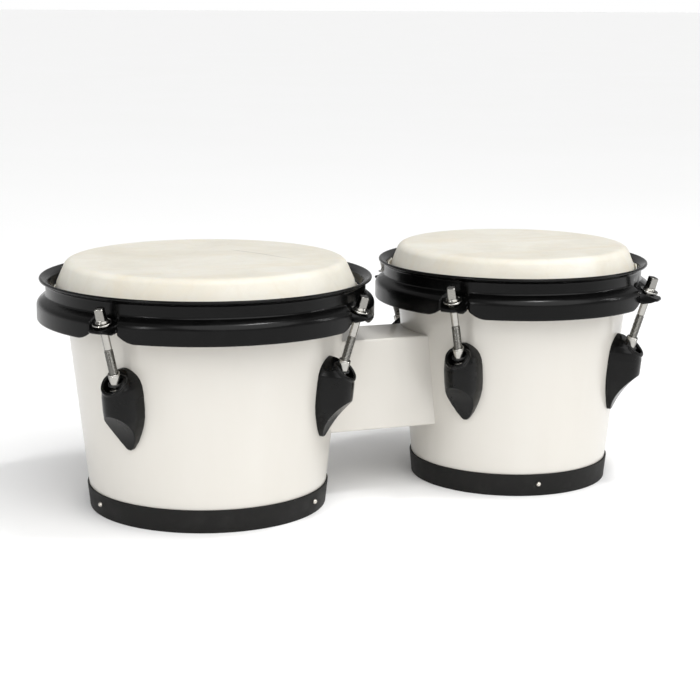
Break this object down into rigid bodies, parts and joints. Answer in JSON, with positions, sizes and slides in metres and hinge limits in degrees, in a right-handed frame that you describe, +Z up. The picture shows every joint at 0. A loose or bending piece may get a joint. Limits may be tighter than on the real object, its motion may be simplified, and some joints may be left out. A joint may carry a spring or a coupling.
{
  "type": "pair of bongo drums",
  "caption": "Joined pair of tapered hand drums with skin heads, pressed tension rims, turning tension rods in lug casings, and a centre block.",
  "frame": {"origin": "on the floor at the middle of the pair's bounding box", "axes": "+X from the larger drum to the smaller one, through both drum axes; +Z up; -Y towards a viewer who sees the larger drum on the left"},
  "size_m": [0.4586, 0.2362, 0.1736],
  "materials": {
    "white_lacquer": "gloss polyester lacquer over a laminated hardwood",
    "bare_wood": "bare sanded hardwood",
    "black_enamel": "smooth satin-gloss powder coat",
    "black_lug": "satin powder coat on a casting",
    "black_band": "matte charcoal paint",
    "hoop_steel": "plain drawn steel bar",
    "chrome": "bright plated steel",
    "nickel": "nickel-plated tack",
    "zinc": "zinc-plated steel",
    "nylon": "moulded black nylon",
    "rawhide": "natural scraped rawhide"
  },
  "bodies": {
    "root": {"hembra_shell": "white_lacquer", "hembra_base_band": "black_band", "hembra_band_tacks": "nickel", "hembra_skin_head": "rawhide", "hembra_lug_screws": "zinc", "hembra_lug_screw_washers": "zinc", "hembra_nut_clips": "nylon", "hembra_backing_block": "bare_wood", "hembra_lug_casing_1": "black_lug", "hembra_swivel_nut_1": "chrome", "hembra_lug_casing_2": "black_lug", "hembra_swivel_nut_2": "chrome", "hembra_lug_casing_3": "black_lug", "hembra_swivel_nut_3": "chrome", "hembra_lug_casing_4": "black_lug", "hembra_swivel_nut_4": "chrome", "macho_shell": "white_lacquer", "macho_base_band": "black_band", "macho_band_tacks": "nickel", "macho_skin_head": "rawhide", "macho_lug_screws": "zinc", "macho_lug_screw_washers": "zinc", "macho_nut_clips": "nylon", "macho_backing_block": "bare_wood", "macho_lug_casing_1": "black_lug", "macho_swivel_nut_1": "chrome", "macho_lug_casing_2": "black_lug", "macho_swivel_nut_2": "chrome", "macho_lug_casing_3": "black_lug", "macho_swivel_nut_3": "chrome", "macho_lug_casing_4": "black_lug", "macho_swivel_nut_4": "chrome", "centre_block": "white_lacquer", "block_tie_rods": "zinc", "tie_rod_washers": "zinc", "tie_rod_nuts": "zinc"},
    "hembra_rim": {"hembra_tension_rim": "black_enamel", "hembra_flesh_hoop": "hoop_steel"},
    "hembra_washer_1": {"hembra_rod_washer_1": "chrome"},
    "hembra_rod_1": {"hembra_tension_rod_1": "chrome"},
    "hembra_washer_2": {"hembra_rod_washer_2": "chrome"},
    "hembra_rod_2": {"hembra_tension_rod_2": "chrome"},
    "hembra_washer_3": {"hembra_rod_washer_3": "chrome"},
    "hembra_rod_3": {"hembra_tension_rod_3": "chrome"},
    "hembra_washer_4": {"hembra_rod_washer_4": "chrome"},
    "hembra_rod_4": {"hembra_tension_rod_4": "chrome"},
    "macho_rim": {"macho_tension_rim": "black_enamel", "macho_flesh_hoop": "hoop_steel"},
    "macho_washer_1": {"macho_rod_washer_1": "chrome"},
    "macho_rod_1": {"macho_tension_rod_1": "chrome"},
    "macho_washer_2": {"macho_rod_washer_2": "chrome"},
    "macho_rod_2": {"macho_tension_rod_2": "chrome"},
    "macho_washer_3": {"macho_rod_washer_3": "chrome"},
    "macho_rod_3": {"macho_tension_rod_3": "chrome"},
    "macho_washer_4": {"macho_rod_washer_4": "chrome"},
    "macho_rod_4": {"macho_tension_rod_4": "chrome"}
  },
  "joints": [
    {"name": "hembra_rim_travel", "type": "slide", "parent": "root", "child": "hembra_rim", "axis": [0, 0, 1], "range_m": [-0.003, 0.004]},
    {"name": "hembra_washer_1_travel", "type": "slide", "parent": "root", "child": "hembra_washer_1", "axis": [0.2067, 0.2067, 0.9563], "range_m": [-0.0031, 0.0041]},
    {"name": "hembra_rod_1_turn", "type": "hinge", "parent": "hembra_washer_1", "child": "hembra_rod_1", "pos_m": [-0.02802, 0.08323, 0.1463], "axis": [0.2067, 0.2067, 0.9563], "range_deg": [-1060, 1400]},
    {"name": "hembra_washer_2_travel", "type": "slide", "parent": "root", "child": "hembra_washer_2", "axis": [-0.184, 0.2272, 0.9563], "range_m": [-0.0031, 0.0041]},
    {"name": "hembra_rod_2_turn", "type": "hinge", "parent": "hembra_washer_2", "child": "hembra_rod_2", "pos_m": [-0.18533, 0.09148, 0.1463], "axis": [-0.184, 0.2272, 0.9563], "range_deg": [-1060, 1400]},
    {"name": "hembra_washer_3_travel", "type": "slide", "parent": "root", "child": "hembra_washer_3", "axis": [-0.2272, -0.184, 0.9563], "range_m": [-0.0031, 0.0041]},
    {"name": "hembra_rod_3_turn", "type": "hinge", "parent": "hembra_washer_3", "child": "hembra_rod_3", "pos_m": [-0.20273, -0.07408, 0.1463], "axis": [-0.2272, -0.184, 0.9563], "range_deg": [-1060, 1400]},
    {"name": "hembra_washer_4_travel", "type": "slide", "parent": "root", "child": "hembra_washer_4", "axis": [0.2067, -0.2067, 0.9563], "range_m": [-0.0031, 0.0041]},
    {"name": "hembra_rod_4_turn", "type": "hinge", "parent": "hembra_washer_4", "child": "hembra_rod_4", "pos_m": [-0.02802, -0.08323, 0.1463], "axis": [0.2067, -0.2067, 0.9563], "range_deg": [-1060, 1400]},
    {"name": "macho_rim_travel", "type": "slide", "parent": "root", "child": "macho_rim", "axis": [0, 0, 1], "range_m": [-0.003, 0.004]},
    {"name": "macho_washer_1_travel", "type": "slide", "parent": "root", "child": "macho_washer_1", "axis": [0.2067, 0.2067, 0.9563], "range_m": [-0.0031, 0.0041]},
    {"name": "macho_rod_1_turn", "type": "hinge", "parent": "macho_washer_1", "child": "macho_rod_1", "pos_m": [0.201, 0.07425, 0.1463], "axis": [0.2067, 0.2067, 0.9563], "range_deg": [-1060, 1400]},
    {"name": "macho_washer_2_travel", "type": "slide", "parent": "root", "child": "macho_washer_2", "axis": [-0.1918, 0.2207, 0.9563], "range_m": [-0.0031, 0.0041]},
    {"name": "macho_rod_2_turn", "type": "hinge", "parent": "macho_washer_2", "child": "macho_rod_2", "pos_m": [0.05786, 0.07925, 0.1463], "axis": [-0.1918, 0.2207, 0.9563], "range_deg": [-1060, 1400]},
    {"name": "macho_washer_3_travel", "type": "slide", "parent": "root", "child": "macho_washer_3", "axis": [-0.2207, -0.1918, 0.9563], "range_m": [-0.0031, 0.0041]},
    {"name": "macho_rod_3_turn", "type": "hinge", "parent": "macho_washer_3", "child": "macho_rod_3", "pos_m": [0.0475, -0.06889, 0.1463], "axis": [-0.2207, -0.1918, 0.9563], "range_deg": [-1060, 1400]},
    {"name": "macho_washer_4_travel", "type": "slide", "parent": "root", "child": "macho_washer_4", "axis": [0.2067, -0.2067, 0.9563], "range_m": [-0.0031, 0.0041]},
    {"name": "macho_rod_4_turn", "type": "hinge", "parent": "macho_washer_4", "child": "macho_rod_4", "pos_m": [0.201, -0.07425, 0.1463], "axis": [0.2067, -0.2067, 0.9563], "range_deg": [-1060, 1400]}
  ],
  "couplings": [
    {"joint": "hembra_washer_1_travel", "follows": "hembra_rim_travel", "ratio": 0.9563},
    {"joint": "hembra_rod_1_turn", "follows": "hembra_rim_travel", "rad_per_m": 6008.6},
    {"joint": "hembra_washer_2_travel", "follows": "hembra_rim_travel", "ratio": 0.9563},
    {"joint": "hembra_rod_2_turn", "follows": "hembra_rim_travel", "rad_per_m": 6008.6},
    {"joint": "hembra_washer_3_travel", "follows": "hembra_rim_travel", "ratio": 0.9563},
    {"joint": "hembra_rod_3_turn", "follows": "hembra_rim_travel", "rad_per_m": 6008.6},
    {"joint": "hembra_washer_4_travel", "follows": "hembra_rim_travel", "ratio": 0.9563},
    {"joint": "hembra_rod_4_turn", "follows": "hembra_rim_travel", "rad_per_m": 6008.6},
    {"joint": "macho_washer_1_travel", "follows": "macho_rim_travel", "ratio": 0.9563},
    {"joint": "macho_rod_1_turn", "follows": "macho_rim_travel", "rad_per_m": 6008.6},
    {"joint": "macho_washer_2_travel", "follows": "macho_rim_travel", "ratio": 0.9563},
    {"joint": "macho_rod_2_turn", "follows": "macho_rim_travel", "rad_per_m": 6008.6},
    {"joint": "macho_washer_3_travel", "follows": "macho_rim_travel", "ratio": 0.9563},
    {"joint": "macho_rod_3_turn", "follows": "macho_rim_travel", "rad_per_m": 6008.6},
    {"joint": "macho_washer_4_travel", "follows": "macho_rim_travel", "ratio": 0.9563},
    {"joint": "macho_rod_4_turn", "follows": "macho_rim_travel", "rad_per_m": 6008.6}
  ]
}
